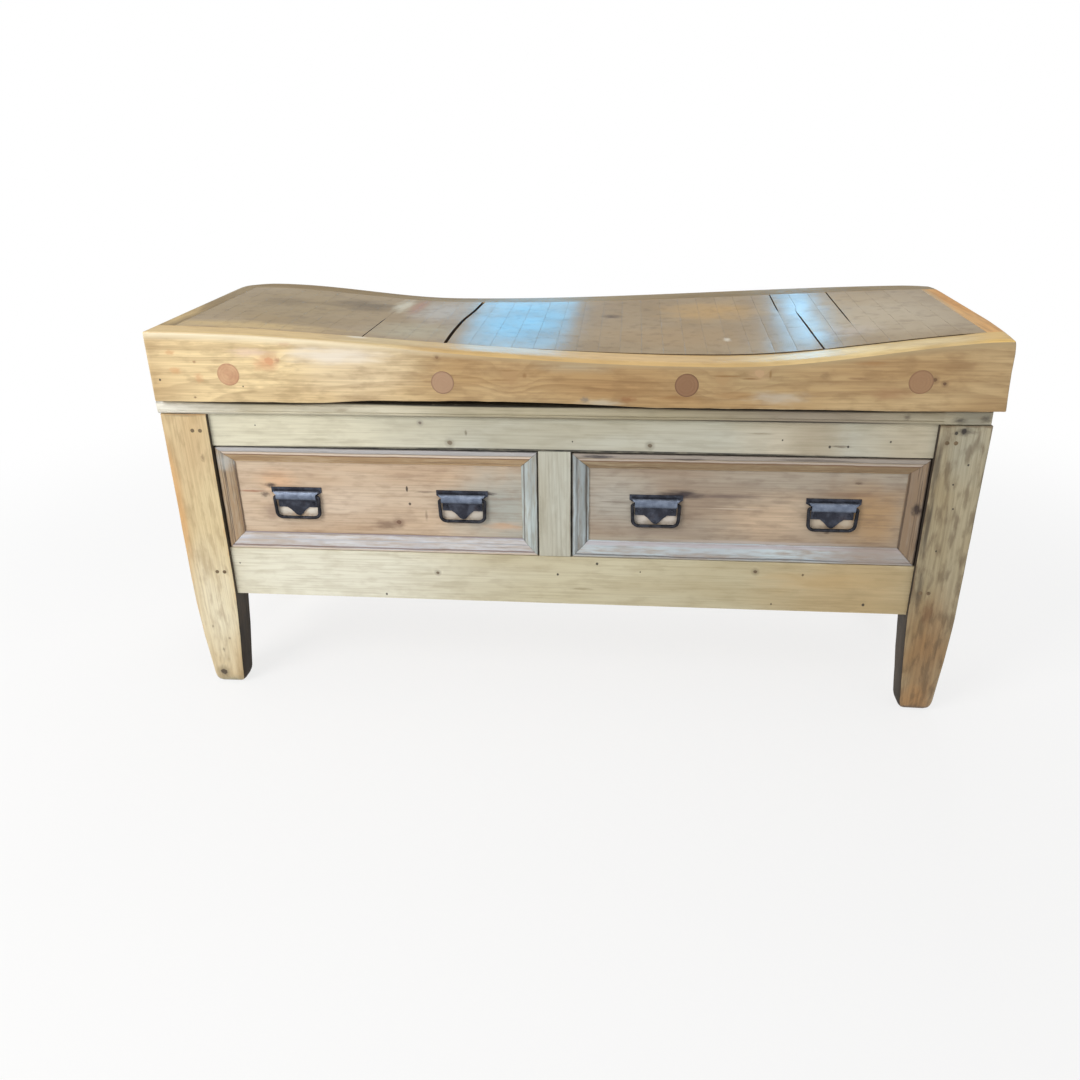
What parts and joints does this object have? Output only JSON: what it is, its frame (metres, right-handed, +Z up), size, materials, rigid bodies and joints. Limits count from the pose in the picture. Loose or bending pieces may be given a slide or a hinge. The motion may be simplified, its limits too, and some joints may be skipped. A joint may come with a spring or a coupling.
{
  "type": "butcher block",
  "caption": "Long end-grain butcher block with a worn, hollowed top on a tapered-leg pine stand with moulded drawers that slide out on iron bail handles.",
  "frame": {"origin": "on the floor, under the middle of the whole piece's box", "axes": "+X to the right along the block, +Y from the drawer fronts to the back, +Z up"},
  "size_m": [1.6126, 0.55, 0.805],
  "materials": {
    "block_pine": "oiled, worn smooth",
    "end_board_pine": "oiled, warm orange",
    "end_grain": "end grain, burnished satin",
    "plug_wood": "end-grain plugs, oiled",
    "rod_iron": "black iron",
    "leg_pine": "waxed pine",
    "leg_brown": "waxed pine, browned towards the foot",
    "stand_pine": "scrubbed pale pine",
    "panel_pine": "waxed pine",
    "inner_pine": "bare sawn pine",
    "nail_iron": "dark oxide",
    "drawer_front_pine": "stained pine, waxed",
    "moulding_paint": "pine with the worn rest of grey paint",
    "drawer_box_pine": "bare pine",
    "handle_iron": "slate-black iron, rubbed",
    "screw_iron": "dark iron"
  },
  "bodies": {
    "stand": {"block_front_board": "block_pine", "block_back_board": "block_pine", "block_left_end": "end_board_pine", "block_right_end": "end_board_pine", "core_left": "end_grain", "core_middle_left": "end_grain", "core_middle_right": "end_grain", "core_right": "end_grain", "front_plugs": "plug_wood", "back_plugs": "plug_wood", "tie_rods": "rod_iron", "tie_rod_washers": "rod_iron", "tie_rod_nuts": "rod_iron", "front_left_leg": "leg_pine", "back_left_leg": "leg_pine", "front_right_leg": "leg_brown", "back_right_leg": "leg_brown", "platform_front": "stand_pine", "platform_middle": "stand_pine", "platform_back": "stand_pine", "front_top_rail": "stand_pine", "front_bottom_rail": "stand_pine", "front_muntin": "stand_pine", "left_top_rail": "stand_pine", "left_bottom_rail": "stand_pine", "right_top_rail": "stand_pine", "right_bottom_rail": "stand_pine", "back_top_rail": "stand_pine", "back_bottom_rail": "stand_pine", "left_panel": "panel_pine", "right_panel": "panel_pine", "back_panel": "panel_pine", "cross_bearers": "inner_pine", "left_runner": "inner_pine", "centre_runner": "inner_pine", "right_runner": "inner_pine", "drawer_guides": "inner_pine", "tenon_nails": "nail_iron"},
    "left_drawer": {"left_drawer_front": "drawer_front_pine", "left_drawer_moulding": "moulding_paint", "left_drawer_left_side": "drawer_box_pine", "left_drawer_right_side": "drawer_box_pine", "left_drawer_back": "drawer_box_pine", "left_drawer_bottom": "drawer_box_pine", "left_drawer_screws": "screw_iron", "handle_plate_1": "handle_iron", "handle_plate_2": "handle_iron"},
    "right_drawer": {"right_drawer_front": "drawer_front_pine", "right_drawer_moulding": "moulding_paint", "right_drawer_left_side": "drawer_box_pine", "right_drawer_right_side": "drawer_box_pine", "right_drawer_back": "drawer_box_pine", "right_drawer_bottom": "drawer_box_pine", "right_drawer_screws": "screw_iron", "handle_plate_3": "handle_iron", "handle_plate_4": "handle_iron"},
    "bail_1": {"handle_bail_1": "handle_iron"},
    "bail_2": {"handle_bail_2": "handle_iron"},
    "bail_3": {"handle_bail_3": "handle_iron"},
    "bail_4": {"handle_bail_4": "handle_iron"}
  },
  "joints": [
    {"name": "left_drawer_slide", "type": "slide", "parent": "stand", "child": "left_drawer", "axis": [0, -1, 0], "range_m": [0, 0.33]},
    {"name": "right_drawer_slide", "type": "slide", "parent": "stand", "child": "right_drawer", "axis": [0, -1, 0], "range_m": [0, 0.33]},
    {"name": "bail_1_swing", "type": "hinge", "parent": "left_drawer", "child": "bail_1", "pos_m": [-0.5513, -0.23805, 0.458], "axis": [-1, 0, 0], "range_deg": [0, 90]},
    {"name": "bail_2_swing", "type": "hinge", "parent": "left_drawer", "child": "bail_2", "pos_m": [-0.2053, -0.23805, 0.458], "axis": [-1, 0, 0], "range_deg": [0, 90]},
    {"name": "bail_3_swing", "type": "hinge", "parent": "right_drawer", "child": "bail_3", "pos_m": [0.1867, -0.23805, 0.458], "axis": [-1, 0, 0], "range_deg": [0, 90]},
    {"name": "bail_4_swing", "type": "hinge", "parent": "right_drawer", "child": "bail_4", "pos_m": [0.5327, -0.23805, 0.458], "axis": [-1, 0, 0], "range_deg": [0, 90]}
  ]
}
